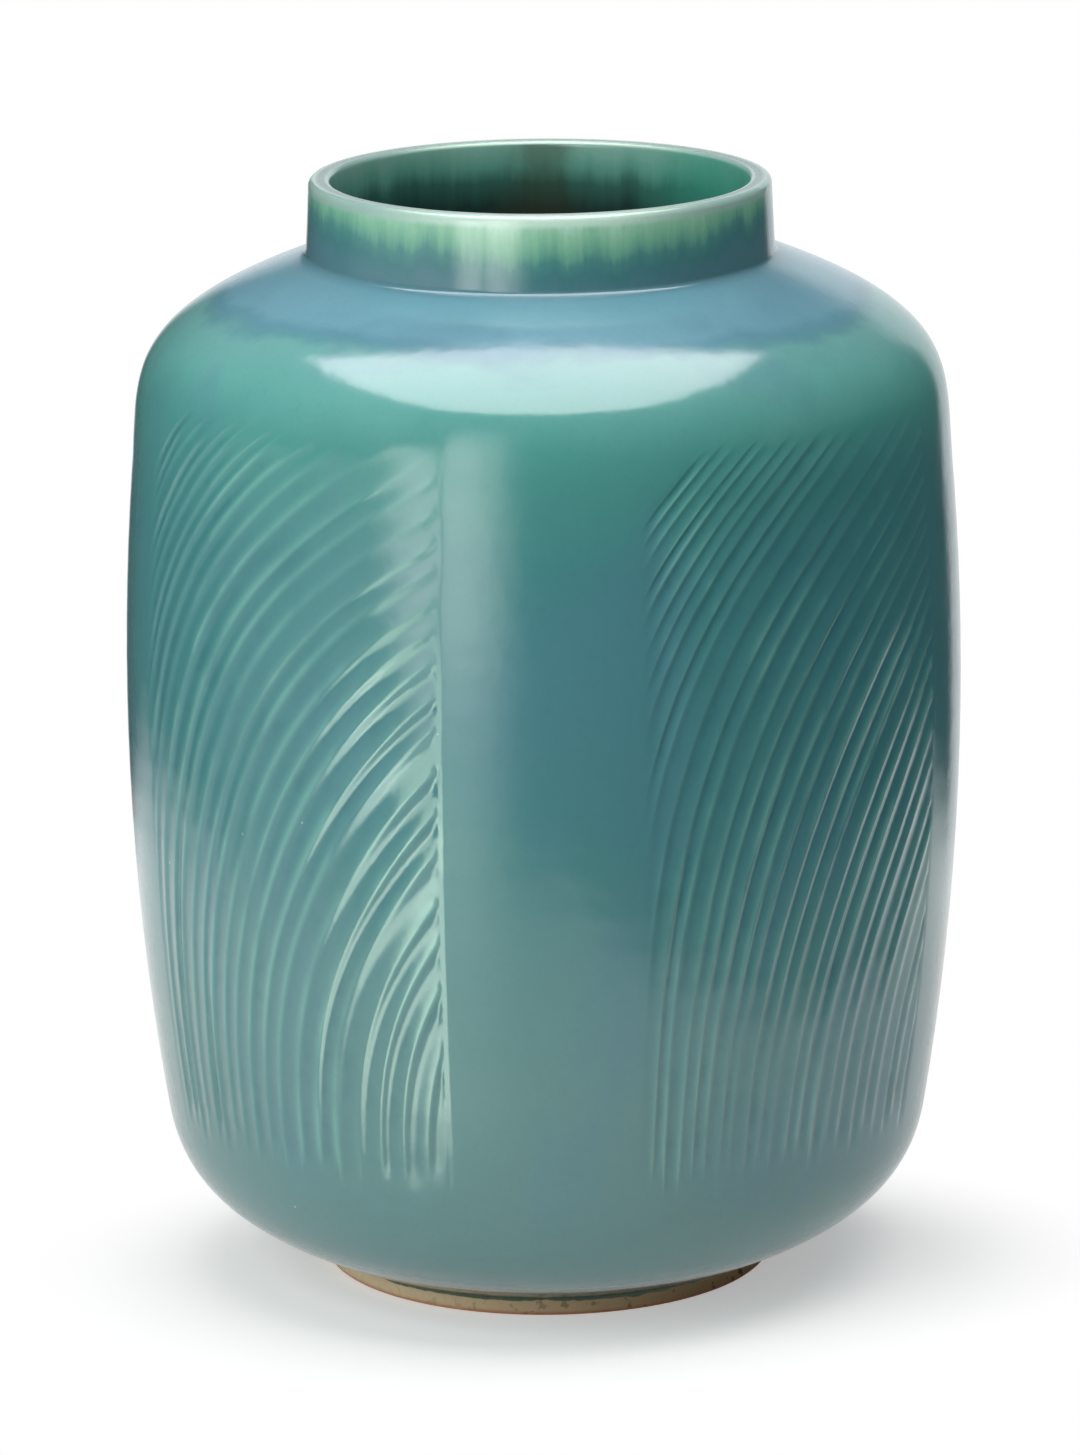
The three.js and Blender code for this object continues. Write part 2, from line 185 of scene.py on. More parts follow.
class Panel:
    """One panel of strokes and the plain band to its right, up to the next panel."""

    def __init__(self, index, left, right, next_left):
        self.index = index
        self.left = left
        self.width = math.radians(right - left) * BELLY_R
        self.gap = math.radians((next_left - right) % 360) * BELLY_R
        self.number, self.rows = tracks(self.width, index)
        self.cells = round(self.gap / BAND_CELL)

    def cut(self, x, z, number):
        """Depth of the cut where its section is deepest.

        It fades at both ends and on the left, and is lightest at the panel's upper right.
        """
        n = number + 17 * self.index
        bottom = CARVE_FROM + 2.5 * (1 + np.sin(2.3 * n))
        top = CARVE_TO - 2.5 * (1 + np.sin(3.1 * n))
        press = 0.80 + 0.20 * np.sin(1.7 * n) + 0.14 * np.sin(z / 21 + 2.9 * n)
        ends = smoothstep(z, bottom, bottom + 9) * smoothstep(top - z, 0, 6)
        light = smoothstep(x / self.width, 0.45, 0.85) * smoothstep(z, 160, 182)
        return STROKE_DEPTH * press * ends * smoothstep(x, 0, LIFT_IN) * (1 - 0.72 * light)

    def row(self, z):
        """Angles, depths, ridge shares and keys of the points from this panel to the next."""
        at = (z - CARVE_FROM) / TRACK_STEP
        k = min(int(at), len(self.rows) - 2)
        ridges = self.rows[k] + (at - k) * (self.rows[k + 1] - self.rows[k])
        start, end = ridges[:-1, None], ridges[1:, None]
        x = (start + SHARES * (end - start)).ravel()
        number = np.repeat(self.number[:-1], len(SHARES))
        deep = np.tile(DEEPS, len(ridges) - 1)
        key = number + np.tile(SHARES, len(ridges) - 1)
        edge = self.width - EDGE_STEP
        keep = (x > 0.1) & (x < edge - 0.05)
        cut = self.cut(x, z, number)
        ridge = np.tile(RIDGES, len(ridges) - 1) * cut / STROKE_DEPTH
        ridge[:FIRST_FALL] = 0
        facet = EDGE_DEPTH * np.interp(edge, x, cut)
        near = smoothstep(x, edge - EDGE_BLEND, edge)
        depth = deep * cut * (1 - near) + facet * near
        plain = np.arange(BAND_CELL, max(ridges[0] - 1, 0), BAND_CELL)
        slope = facet * np.maximum(1 - EDGE_ACROSS, 0)
        band = self.width + self.gap * np.arange(1, self.cells) / self.cells
        xs = [np.zeros(1), plain, x[keep], edge + EDGE_ACROSS * EDGE_STEP, band]
        depths = [np.zeros(1), 0 * plain, depth[keep], slope, 0 * band]
        pale = [np.zeros(1), 0 * plain, (ridge * (1 - near))[keep], 0 * slope, 0 * band]
        keys = [
            np.array([SIDE_KEY]), CORNER_KEY + np.arange(len(plain)) - len(plain), key[keep],
            EDGE_KEY + np.arange(len(slope)), BAND_KEY + np.arange(len(band)),
        ]
        xs, depths, pale, keys = (np.concatenate(part) for part in (xs, depths, pale, keys))
        angles = self.left + np.degrees(xs / BELLY_R)
        return angles, depths, pale, keys + PANEL_KEYS * self.index


PANEL_LIST = [
    Panel(k, *PANELS[k], PANELS[(k + 1) % len(PANELS)][0]) for k in range(len(PANELS))
]


class Skin:
    """A closed skin built from rings of points, each point with a key to match the next ring by."""

    def __init__(self):
        self.points = []
        self.hollow = []
        self.ridge = []
        self.lined = []
        self.faces = []
        self.corners = []
        self.count = 0

    def ring(self, angle, r, z, keys=None, hollow=0.0, ridge=0.0, lined=0.0):
        turned_by = np.radians(angle - 90)
        r = np.broadcast_to(r, angle.shape)
        self.points.append(np.stack([r * np.cos(turned_by), r * np.sin(turned_by), z + 0 * r], 1))
        self.hollow.append(np.broadcast_to(hollow, angle.shape))
        self.ridge.append(np.broadcast_to(ridge, angle.shape))
        self.lined.append(np.broadcast_to(lined, angle.shape))
        ids = self.count + np.arange(len(angle))
        self.count += len(angle)
        return {"ids": ids, "angle": angle, "keys": keys}

    def carved(self, z):
        parts = [panel.row(z) for panel in PANEL_LIST]
        angle, depth, pale, keys = (np.concatenate(part) for part in zip(*parts))
        r = outer_radius(z) - hand_thrown(angle, z) - depth
        return self.ring(angle, r, z, keys, depth / STROKE_DEPTH, pale)

    def fill(self, below, above, by="angle", crease=False):
        """Triangles between two rings, with each point joined in the order of its key or angle."""
        whole = {"angle": 360.0, "keys": ALL_KEYS}[by]
        a = np.append(below[by], below[by][0] + whole)
        b = np.append(above[by], above[by][0] + whole)
        a[-1] = b[-1] = max(a[-1], b[-1])
        ia = np.append(below["ids"], below["ids"][0])
        ib = np.append(above["ids"], above["ids"][0])
        is_a = np.r_[np.ones(len(a) - 1, bool), np.zeros(len(b) - 1, bool)]
        is_a = is_a[np.argsort(np.r_[a[1:], b[1:]], kind="stable")]
        i = np.cumsum(is_a) - is_a
        j = np.cumsum(~is_a) - ~is_a
        next_a = ia[np.minimum(i + 1, len(ia) - 1)]
        next_b = ib[np.minimum(j + 1, len(ib) - 1)]
        self.faces.append(np.stack([ia[i], np.where(is_a, next_a, next_b), ib[j]], 1))
        if crease:
            self.corners += [below["ids"], above["ids"]]

    def build(self, name, material):
        points = np.concatenate(self.points) * MM
        faces = np.concatenate(self.faces)
        mesh = bpy.data.meshes.new(name)
        mesh.vertices.add(len(points))
        mesh.vertices.foreach_set("co", points.ravel())
        mesh.loops.add(faces.size)
        mesh.loops.foreach_set("vertex_index", faces.ravel())
        mesh.polygons.add(len(faces))
        mesh.polygons.foreach_set("loop_start", np.arange(len(faces)) * 3)
        mesh.update(calc_edges=True)
        mesh.shade_smooth()
        corner = np.zeros(self.count, int)
        for k, ids in enumerate(self.corners):
            corner[ids] = k + 1
        ends = np.empty(len(mesh.edges) * 2, int)
        mesh.edges.foreach_get("vertices", ends)
        first, second = corner[ends.reshape(-1, 2)].T
        mesh.edges.foreach_set("use_edge_sharp", (first > 0) & (first == second))
        kinds = (("hollow", self.hollow), ("ridge", self.ridge), ("lined", self.lined))
        for label, values in kinds:
            attribute = mesh.attributes.new(label, "FLOAT", "POINT")
            attribute.data.foreach_set("value", np.concatenate(values))
        mesh.materials.append(material)
        piece = bpy.data.objects.new(name, mesh)
        bpy.context.scene.collection.objects.link(piece)
        return piece


def between(line, low, high, step):
    """Points of a line from one height to another, evenly spaced along it."""
    part = line[(line[:, 1] > low) & (line[:, 1] < high)]
    run = np.r_[0, np.cumsum(np.hypot(*np.diff(part, axis=0).T))]
    at = np.linspace(0, run[-1], max(2, round(run[-1] / step) + 1))[1:-1]
    return np.stack([np.interp(at, run, part[:, 0]), np.interp(at, run, part[:, 1])], 1)


def lining(low, high, step):
    """Points of the inside from one joint down to another."""
    down = between(LINING, low, high, step)[::-1]
    return [(inner_radius(high), high), *down, (inner_radius(low), low)]


def wall_section(name, zs, below=(), above=(), lined=()):
    """Plain rings below, carved rings, plain rings above, then the lining back down."""
    skin = Skin()
    carved = [skin.carved(z) for z in zs]
    for low, high in zip(carved, carved[1:]):
        skin.fill(low, high, by="keys")
    outside = [skin.ring(ROUND, r - hand_thrown(ROUND, z), z) for r, z in below]
    outside += [carved[0], carved[-1]]
    outside += [skin.ring(ROUND, r - hand_thrown(ROUND, z), z) for r, z in above]
    inside = [skin.ring(INSIDE, r, z, lined=1.0) for r, z in lined]
    rings = outside + inside
    creases = {len(outside) - 1, len(rings) - 1}
    for k, ring in enumerate(rings):
        if k != len(below):
            skin.fill(ring, rings[(k + 1) % len(rings)], crease=k in creases)
    return skin.build(name, GLAZE)


def turned(name, material, outline, crease_at, lined_from=None):
    """A plain turned piece from its closed outline, with sharp edges round one of its faces."""
    skin = Skin()
    lined_from = len(outline) if lined_from is None else lined_from
    rings = [
        skin.ring(ROUND, r, z, lined=float(k >= lined_from)) for k, (r, z) in enumerate(outline)
    ]
    sharp = outline.index(crease_at)
    for k, ring in enumerate(rings):
        skin.fill(ring, rings[(k + 1) % len(rings)], crease=k == sharp)
    return skin.build(name, material)


# sRGB colours, from 0 to 255. Those of a ramp go with shares of its reach.
WALL_COLOURS = (
    (0.02, (44, 82, 66)), (0.034, (66, 108, 102)), (0.06, (92, 136, 136)),
    (0.25, (92, 141, 139)), (0.50, (76, 137, 139)), (0.72, (72, 138, 139)),
    (0.82, (78, 154, 146)), (0.86, (100, 170, 163)), (0.90, (118, 176, 174)),
)
COLLAR_COLOURS = (
    (0.04, (86, 132, 142)), (0.22, (74, 131, 134)), (0.34, (82, 144, 138)),
    (0.50, (124, 186, 156)), (0.64, (150, 206, 174)), (0.80, (190, 232, 208)),
)
LINING_COLOURS = (
    (0.1, (42, 60, 58)), (0.45, (42, 70, 64)), (0.66, (64, 116, 104)),
    (0.80, (108, 176, 158)), (0.90, (134, 194, 176)), (1.0, (148, 198, 184)),
)
RING_BLUE = (114, 166, 182)
RING_END = (84, 140, 156)
DRIFT_BLUE = (84, 132, 152)
# Painted shade for the wall's right side
SHADE_BLUE_RIGHT = (42, 98, 110)
HOLLOW_BLUE = (42, 104, 114)
RIDGE_PALE = (138, 204, 188)
# Painted light for the inside's right wall
LINING_PAINTED_LIGHT = (72, 178, 154)
LINING_PATCH = (66, 68, 48)
LIP_FRONT = (206, 238, 220)
LIP_SIDE = (156, 190, 180)
LIP_FLAT = (84, 128, 120)
LIP_SPECK = (74, 84, 70)
MOTTLE_DARK = (40, 84, 92)
PINHOLE_PALE = (176, 208, 196)
# Bare clay's colour, painted lit on the left and shaded on the right
CLAY_PAINTED_LIT = (244, 224, 186)
CLAY_PAINTED_SHADE = (164, 124, 78)
CLAY_GRAIN = (150, 112, 66)
CLAY_DOTS = (64, 46, 32)
CLAY_WORN = (196, 116, 66)
GLAZE_END = (50, 86, 62)

# Levels on the jar in millimetres
COLLAR_FROM = 250.0
COLLAR_REACH = 24.0
LINING_FROM = 240.0
LINING_REACH = 30.0

# Brightness of the studio in the gloss, by degrees to the right of the front
ROOM = (
    (-180, 0.95), (-172, 0.90), (-168, 0.06), (-110, 0.08), (-92, 0.6), (-60, 0.95),
    (-48, 0.9), (-42, 0.05), (30, 0.04), (90, 0.03), (148, 0.06), (154, 0.95), (180, 0.95),
)
WHITE = (1.0, 1.0, 1.0, 1.0)


def srgb(r, g, b):
    def lin(v):
        v /= 255
        return v / 12.92 if v <= 0.04045 else ((v + 0.055) / 1.055) ** 2.4

    return (lin(r), lin(g), lin(b), 1.0)


class Nodes:
    """A tree of nodes, with short names for what the looks and lamps are made of."""

    def __init__(self, tree, output):
        self.tree = tree
        tree.nodes.clear()
        self.out = tree.nodes.new(output).inputs[0]

    def put(self, value, socket):
        if hasattr(value, "is_output"):
            self.tree.links.new(value, socket)
        else:
            socket.default_value = value

    def add(self, kind, inputs=None, **settings):
        node = self.tree.nodes.new(kind)
        for key, value in settings.items():
            setattr(node, key, value)
        for key, value in (inputs or {}).items():
            self.put(value, node.inputs[key])
        return node

    def finish(self, shader):
        self.put(shader, self.out)

    # Numbers
    def math(self, operation, *values, clamp=False):
        inputs = dict(enumerate(values))
        return self.add("ShaderNodeMath", inputs, operation=operation, use_clamp=clamp).outputs[0]

    def times(self, first, *others):
        for other in others:
            first = self.math("MULTIPLY", first, other)
        return first

    def most(self, first, *others):
        for other in others:
            first = self.math("MAXIMUM", first, other)
        return first

    def plus(self, a, b):
        return self.math("ADD", a, b)

    def minus(self, a, b):
        return self.math("SUBTRACT", a, b)

    def scaled(self, value, factor, offset):
        return self.math("MULTIPLY_ADD", value, factor, offset)

    def size(self, value):
        return self.math("ABSOLUTE", value)

    def step(self, value, none, full):
        """0 at the first limit and beyond it, 1 at the second, and smooth between."""
        inputs = {"Value": value, "From Min": none, "From Max": full}
        return self.add("ShaderNodeMapRange", inputs, interpolation_type="SMOOTHSTEP").outputs[0]

    def window(self, value, none, full, full_to, none_from):
        """1 between two limits, and smooth down to 0 on both sides."""
        return self.times(self.step(value, none, full), self.step(value, none_from, full_to))

    def split(self, vector):
        return self.add("ShaderNodeSeparateXYZ", {0: vector}).outputs

    def noise(self, scale, detail=3, rough=0.5, distortion=0, upright=1):
        """Noise on the object, drawn out along its height where upright is under 1."""
        place = self.place
        if upright != 1:
            inputs = {"Vector": place, "Scale": (1, 1, upright)}
            place = self.add("ShaderNodeMapping", inputs).outputs[0]
        inputs = {"Vector": place, "Scale": scale, "Detail": detail}
        inputs.update({"Roughness": rough, "Distortion": distortion})
        return self.add("ShaderNodeTexNoise", inputs).outputs["Fac"]

    def ragged(self, value, noise, reach):
        """A measure that noise moves by up to half of its reach either way."""
        return self.minus(self.scaled(noise, reach, value), reach / 2)

    def attribute(self, name):
        return self.add("ShaderNodeAttribute", attribute_name=name).outputs["Fac"]

    # Colours
    def mix(self, factor, a, b):
        a, b = (srgb(*colour) if isinstance(colour, tuple) else colour for colour in (a, b))
        return self.add("ShaderNodeMix", {0: factor, 6: a, 7: b}, data_type="RGBA").outputs[2]

    def ramp(self, value, stops):
        node = self.add("ShaderNodeValToRGB", {0: value})
        elements = node.color_ramp.elements
        while len(elements) < len(stops):
            elements.new(0.5)
        for element, (at, colour) in zip(elements, stops):
            element.position = at
            element.color = colour
        return node.outputs[0]

    def colours(self, value, stops):
        return self.ramp(value, [(at, srgb(*colour)) for at, colour in stops])

    def room(self, across, ahead):
        """Colour of the room, by the turn from straight ahead of the jar."""
        turn = self.math("ARCTAN2", across, ahead)
        stops = [
            (degrees / 360 + 0.5, (0.94 * bright, 0.97 * bright, bright, 1))
            for degrees, bright in ROOM
        ]
        return self.ramp(self.scaled(turn, 1 / (2 * math.pi), 0.5), stops)

    # Shaders
    def surface(self, colour, rough, height, strength, distance, **others):
        inputs = {"Height": height, "Strength": strength, "Distance": distance}
        normal = self.add("ShaderNodeBump", inputs).outputs[0]
        inputs = {"Base Color": colour, "Roughness": rough, "Normal": normal, **others}
        self.finish(self.add("ShaderNodeBsdfPrincipled", inputs).outputs[0])

    def glow(self, kind, colour, strength):
        """Light of one colour and strength, as an Emission or a Background."""
        return self.add("ShaderNode" + kind, {"Color": colour, "Strength": strength}).outputs[0]

    def blend(self, factor, a, b):
        return self.add("ShaderNodeMixShader", {0: factor, 1: a, 2: b}).outputs[0]

    def sum(self, a, b):
        return self.add("ShaderNodeAddShader", {0: a, 1: b}).outputs[0]


def material_nodes(name):
    """A new material and its nodes, with the place on the object in metres."""
    material = bpy.data.materials.new(name)
    material.use_nodes = True
    n = Nodes(material.node_tree, "ShaderNodeOutputMaterial")
    n.place = n.add("ShaderNodeTexCoord").outputs["Object"]
    n.x, n.y, n.z = n.split(n.place)
    return material, n


def wall_colour(n, mm, radius):
    """Wall and shoulder: by height, with the ring round the neck, drifts, hollows, ridges and
    painted shade on the right side.
    """
    height = n.ragged(mm, n.noise(45, 4, 0.6), 9.0)
    colour = n.colours(n.times(height, 1 / HEIGHT), WALL_COLOURS)

    # Blue ring round the neck, with a darker line where its glaze ended
    out = n.ragged(radius, n.noise(30, 4, 0.6), 16.0)
    high = n.step(mm, 215, 225)
    colour = n.mix(n.times(n.step(out, 80.0, 77.5), high), colour, RING_BLUE)
    line = n.window(out, 74.0, 78.5, 79.5, 83.5)
    colour = n.mix(n.times(line, high, 0.6), colour, RING_END)

    # Bluer where the glaze lies thick, in drifts and in the hollows, and darker blue painted on the
    # right side as shade
    drift = n.step(n.noise(17, 3, 0.55, 0.5, upright=0.55), 0.48, 0.68)
    colour = n.mix(n.times(drift, 0.38), colour, DRIFT_BLUE)
    # Painted shade: the wall's right side, away from the key lamp, darkened to blue between 95 and
    # 228 mm
    right_shade = n.times(n.step(n.x, 0.015, 0.085), n.window(mm, 95, 150, 205, 228))
    colour = n.mix(n.times(right_shade, 0.48), colour, SHADE_BLUE_RIGHT)
    blotch = n.step(n.noise(90, 3, 0.6), 0.42, 0.70)
    deep = n.times(n.attribute("hollow"), n.scaled(blotch, 0.28, 0.14))
    colour = n.mix(deep, colour, HOLLOW_BLUE)

    # Paler where it ran off the ridges
    worn = n.step(n.noise(40, 3, 0.6, upright=0.4), 0.42, 0.62)
    thin = n.times(n.attribute("ridge"), n.scaled(worn, 0.36, 0.08))
    return n.mix(thin, colour, RIDGE_PALE)


def collar_colour(n, mm):
    """Pale at the lip, running down in drips that reach lower at the middle."""
    run = n.ragged(mm, n.noise(150, 4, 0.6, upright=0.12), 11.0)
    run = n.ragged(run, n.noise(420, 3, 0.6, upright=0.2), 3.0)
    run = n.scaled(n.times(n.x, n.x), -2100.0, run)
    return n.colours(n.times(n.minus(run, COLLAR_FROM), 1 / COLLAR_REACH), COLLAR_COLOURS)


def lining_colour(n, mm):
    """Pale under the lip, then darker with upright streaks, with painted light on the right wall,
    and a brown patch at the back.
    """
    streak = n.ragged(mm, n.noise(120, 4, 0.6, upright=0.1), 9.0)
    colour = n.colours(n.times(n.minus(streak, LINING_FROM), 1 / LINING_REACH), LINING_COLOURS)
    # Painted light: the inside's right wall, which faces the key lamp, made paler and greener
    colour = n.mix(n.times(n.step(n.x, 0.020, 0.044), 0.7), colour, LINING_PAINTED_LIGHT)
    patch = n.step(n.scaled(n.noise(60), 0.024, n.size(n.x)), 0.026, 0.014)
    patch = n.times(patch, n.step(n.y, 0, 0.03), n.step(mm, 236, 250))
    return n.mix(n.times(patch, 0.5), colour, LINING_PATCH)


def lip_over(n, mm, radius, colour):
    """The glaze thinned to pale mint on the lip's edges, and darker on its flat top."""
    top = n.step(n.scaled(n.attribute("lined"), -2.4, mm), 266.6, 268.4)
    aside = n.step(n.size(n.x), 0.012, 0.045)
    colour = n.mix(top, colour, n.mix(aside, LIP_FRONT, LIP_SIDE))
    flat = n.times(n.window(radius, 51.3, 52.2, 53.2, 54.4), n.scaled(aside, 0.12, 0.78))
    speck = n.step(n.noise(260, 4, 0.7), 0.58, 0.64)
    level = n.mix(n.times(speck, 0.4), LIP_FLAT, LIP_SPECK)
    return n.mix(n.times(flat, top), colour, level)


def glaze_material():
    material, n = material_nodes("glaze")
    mm = n.times(n.z, 1000.0)
    radius = n.times(n.math("SQRT", n.scaled(n.x, n.x, n.times(n.y, n.y))), 1000.0)
    wall = wall_colour(n, mm, radius)
    colour = n.mix(n.step(mm, 250.2, 252.5), wall, collar_colour(n, mm))
    colour = n.mix(n.attribute("lined"), colour, lining_colour(n, mm))
    colour = lip_over(n, mm, radius, colour)

    # Fine mottling and a few pinholes
    mottle = n.size(n.scaled(n.noise(380, 3, 0.6), 0.24, -0.12))
    colour = n.mix(mottle, colour, MOTTLE_DARK)
    pits = n.add("ShaderNodeTexVoronoi", {"Vector": n.place, "Scale": 44})
    pit = n.math("LESS_THAN", pits.outputs["Distance"], 0.018)
    colour = n.mix(n.times(pit, 0.45), colour, PINHOLE_PALE)

    rough = n.scaled(n.noise(70), 0.08, 0.10)
    n.surface(colour, rough, n.noise(190, 2), 0.12, 0.0005, IOR=1.56)
    return material


def clay_material():
    """Bare clay, painted lighter on the left and darker on the right as light and shade, with dark
    dots and the end of the glaze above it.
    """
    material, n = material_nodes("bare_clay")
    # Painted light and shade: the clay's colour runs from lit on the left to shaded on the right
    side = n.math("MULTIPLY_ADD", n.x, 9.0, 0.45, clamp=True)
    colour = n.mix(side, CLAY_PAINTED_LIT, CLAY_PAINTED_SHADE)
    grain = n.noise(700, 4, 0.7)
    colour = n.mix(n.times(grain, 0.3), colour, CLAY_GRAIN)
    # The dark dots fade out with the painted shade on the right
    dots = n.step(n.noise(520, 2), 0.60, 0.66)
    colour = n.mix(n.times(dots, side), colour, CLAY_DOTS)
    low = n.step(n.z, 0.0016, 0.0004)
    colour = n.mix(n.times(low, 0.7), colour, CLAY_WORN)
    glazed = n.step(n.scaled(n.noise(110), 0.0030, n.z), 0.0052, 0.0056)
    colour = n.mix(glazed, colour, GLAZE_END)
    n.surface(colour, n.scaled(glazed, -0.7, 0.85), grain, 0.5, 0.0003)
    return material


GLAZE = glaze_material()
CLAY = clay_material()

# The pieces
foot_in = FOOT_R - FOOT_WIDTH
foot_outline = [
    (foot_in + 1.2, 0), (foot_in + 4, 0), (FOOT_R - 4, 0), (FOOT_R - 1.2, 0),
    (FOOT_R - 0.6, 0.12), (FOOT_R - 0.2, 0.45), (FOOT_R, 1), (FOOT_R, 1.8), (FOOT_R - 0.1, 2.6),
    (FOOT_R, 3.3), (FOOT_R + 0.3, 4.1), (FOOT_R + 0.8, 4.8), (FOOT_R + FOOT_FLARE, FOOT_H),
    (foot_in - 1, FOOT_H), (foot_in - 0.3, 4.4), (foot_in, 3.6), (foot_in, 2),
    (foot_in + 0.1, 0.8), (foot_in + 0.5, 0.2),
]
foot = turned("foot_ring_look", CLAY, foot_outline, (FOOT_R + FOOT_FLARE, FOOT_H))

floor_corner = (float(outer_radius(FLOOR_TOP)), FLOOR_TOP)
floor_outside = [(r, FOOT_H) for r in (0.05, 16, 32, 48, 56.8)]
floor_outside += [(r, z) for r, z in between(OUTLINE, FOOT_H, FLOOR_TOP, 0.8)]
floor_outside.append(floor_corner)
floor_inside = [(r, FLOOR_TOP) for r in (66, 60, 45, 30, 15, 0.05)]
floor = turned(
    "base_floor_look", GLAZE, floor_outside + floor_inside, floor_corner, len(floor_outside)
)

lower = wall_section(
    "lower_wall_look", np.linspace(CARVE_FROM, LOWER_TOP, 66),
    below=[floor_corner, *between(OUTLINE, FLOOR_TOP, CARVE_FROM, 1.4)],
    lined=lining(FLOOR_TOP, LOWER_TOP, 4),
)
upper = wall_section(
    "upper_wall_look", np.linspace(LOWER_TOP, UPPER_TOP, 69),
    lined=lining(LOWER_TOP, UPPER_TOP, 6),
)

THROAT_LOW = 245.4
throat = [
    (THROAT_R, NECK_Z), (THROAT_R + 0.1, NECK_Z - 0.8), (THROAT_R + 0.6, NECK_Z - 1.8),
    (52.2, 247.6), (54.4, 246.3),
]
shoulder_inside = between(LINING, UPPER_TOP, THROAT_LOW, 3)[::-1]
shoulder = wall_section(
    "shoulder_look", np.linspace(UPPER_TOP, CARVE_TO, 22),
    above=[*between(OUTLINE, CARVE_TO, NECK_Z, 0.9), OVER[0]],
    lined=[*throat, *shoulder_inside, (inner_radius(UPPER_TOP), UPPER_TOP)],
)

FILLET_TOP = 252.6
LIP_LOW = 268.4
LIP_LOW_IN = 268.6
lip_in = LIP_R - LIP_WIDTH
fillet = bezier(OVER[0], (57.4, 251.3), (56.6, 251.8), (NECK_R, FILLET_TOP), 8)
neck_outside = [
    (NECK_R - 0.8 * t**0.8, FILLET_TOP + (LIP_LOW - FILLET_TOP) * t)
    for t in np.linspace(0.08, 0.96, 12)
]
lip = [
    (LIP_R, LIP_LOW), (LIP_R - 0.05, 268.8), (LIP_R - 0.2, 269.2), (LIP_R - 0.46, 269.54),
    (LIP_R - 0.8, 269.8), (LIP_R - 1.2, 269.95), (LIP_R - 1.7, HEIGHT), (LIP_R - 2.6, 269.94),
    (LIP_R - 3.4, 269.92), (lip_in + 1.3, 269.95), (lip_in + 0.9, 269.9), (lip_in + 0.5, 269.72),
    (lip_in + 0.2, 269.42), (lip_in + 0.05, 269.05), (lip_in, LIP_LOW_IN),
]
neck_inside = [
    (lip_in - 0.5 * t, LIP_LOW_IN - (LIP_LOW_IN - NECK_Z) * t) for t in np.linspace(0.08, 0.95, 10)
]
neck_outline = [(r, z) for r, z in [*fillet, *neck_outside, *lip, *neck_inside]]
neck_outline.append((THROAT_R, NECK_Z))
neck = turned(
    "neck_collar_look", GLAZE, neck_outline, (THROAT_R, NECK_Z),
    lined_from=len(fillet) + len(neck_outside) + len(lip) - 2,
)

for piece, node, slot in (
    (foot, "foot_ring", "bare_clay"),
    (floor, "base_floor", "body_glaze"),
    (lower, "lower_wall", "body_glaze"),
    (upper, "upper_wall", "body_glaze"),
    (shoulder, "shoulder", "shoulder_glaze"),
    (neck, "neck_collar", "neck_glaze"),
):
    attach(piece, "root")
    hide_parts(node)


def ground_material():
    """White paper under and behind the jar."""
    material, g = material_nodes("ground_white")
    path = g.add("ShaderNodeLightPath").outputs
    camera, glossy = path["Is Camera Ray"], path["Is Glossy Ray"]
    shown = g.most(camera, glossy)
    away = g.add("ShaderNodeVectorMath", {0: g.place}, operation="LENGTH").outputs["Value"]

    # Lit paper near the jar, which takes its shadow
    paper = g.add("ShaderNodeBsdfDiffuse", {"Color": (0.875, 0.86, 0.845, 1)}).outputs[0]
    near = g.sum(paper, g.glow("Emission", WHITE, g.times(shown, 0.38)))

    # Plain white further out. In the gloss it is brighter at the sides and fades with distance.
    sides = g.times(g.step(g.size(g.x), 0.10, 0.30), glossy)
    fall = g.times(g.step(away, 0.35, 0.62), glossy)
    strength = g.times(g.scaled(sides, 0.3, 1.0), g.scaled(fall, -0.55, 1.0))
    aside = g.minus(g.x, 0.01)
    ahead = g.times(g.plus(g.y, 0.03), 1.3)
    far = g.math("SQRT", g.scaled(aside, aside, g.times(ahead, ahead)))
    mirrored = g.step(away, 0.16, 0.42)
    far = g.math("MINIMUM", g.step(far, 0.087, 0.150), g.most(mirrored, camera))
    seen = g.blend(g.times(far, shown), near, g.glow("Emission", WHITE, strength))

    # Beyond the paper's front, sides and back the gloss shows the room
    front = g.step(g.y, -0.36, -0.56)
    left = g.step(g.scaled(g.y, -0.222, g.x), -0.46, -0.62)
    right = g.step(g.scaled(g.y, -0.69, g.x), 0.30, 0.40)
    back = g.step(g.scaled(g.x, 0.14, g.y), 0.28, 0.46)
    side = g.minus(g.size(g.x), g.times(g.step(g.y, -0.1, 0.2), 0.095))
    side = g.times(g.most(side, 0.0), g.math("SIGN", g.x))
    room = g.glow("Emission", g.room(side, g.times(g.y, -1.0)), 1.0)
    seen = g.blend(g.times(g.most(front, left, right, back), glossy), seen, room)

    # Pool of the key lamp on the paper, as the gloss shows it
    turn = g.math("ARCTAN2", g.plus(g.x, 0.0035), g.minus(-0.0585, g.y))
    pool = g.window(turn, -0.87, -0.75, -0.60, -0.50)
    pool = g.times(pool, g.step(away, 0.62, 0.46), 2.05)
    wide = g.times(g.window(turn, -0.56, -0.44, -0.48, -0.02), g.step(away, 4.0, 0.9))
    wide = g.times(wide, g.scaled(g.step(away, 0.25, 0.45), 0.35, 0.2))
    pool = g.times(g.most(wide, pool), g.step(away, 0.15, 0.22), glossy, 2.8)
    g.finish(g.sum(seen, g.glow("Emission", (0.86, 1, 0.82, 1), pool)))
    return material


bpy.ops.mesh.primitive_plane_add(size=12, location=(0, 0, 0))
ground = bpy.context.object
ground.name = "ground"
ground.data.materials.append(ground_material())


